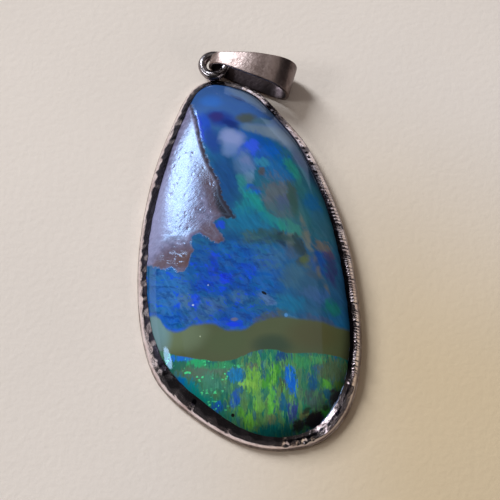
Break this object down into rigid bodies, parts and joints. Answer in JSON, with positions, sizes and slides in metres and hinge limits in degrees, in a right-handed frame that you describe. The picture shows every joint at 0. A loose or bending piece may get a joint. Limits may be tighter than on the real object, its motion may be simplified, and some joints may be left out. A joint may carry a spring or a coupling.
{
  "type": "boulder opal pendant",
  "caption": "Polished free-form boulder opal in a burnished silver bezel, lying on its back, with a soldered ring and a tapered loop bail that swings.",
  "frame": {"origin": "middle of the back plate's underside, on the surface the pendant lies on", "axes": "+Y along the stone towards the ring and bail, +X to the right seen from the front, +Z out of the stone's face"},
  "size_m": [0.0173, 0.0335, 0.0037],
  "materials": {
    "opal": "polished, with a duller ironstone patch",
    "bezel_silver": "burnished by hand, tarnished in the recesses",
    "plate_silver": "satin",
    "ring_silver": "polished, tarnished",
    "bail_silver": "polished, tarnished"
  },
  "bodies": {
    "pendant": {"opal": "opal", "bezel": "bezel_silver", "back_plate": "plate_silver", "ring": "ring_silver"},
    "bail": {"bail": "bail_silver"}
  },
  "joints": [
    {"name": "bail_swing", "type": "hinge", "parent": "pendant", "child": "bail", "pos_m": [-0.00285, 0.01668, 0.001], "axis": [0, 0, 1], "range_deg": [0, 210]}
  ]
}
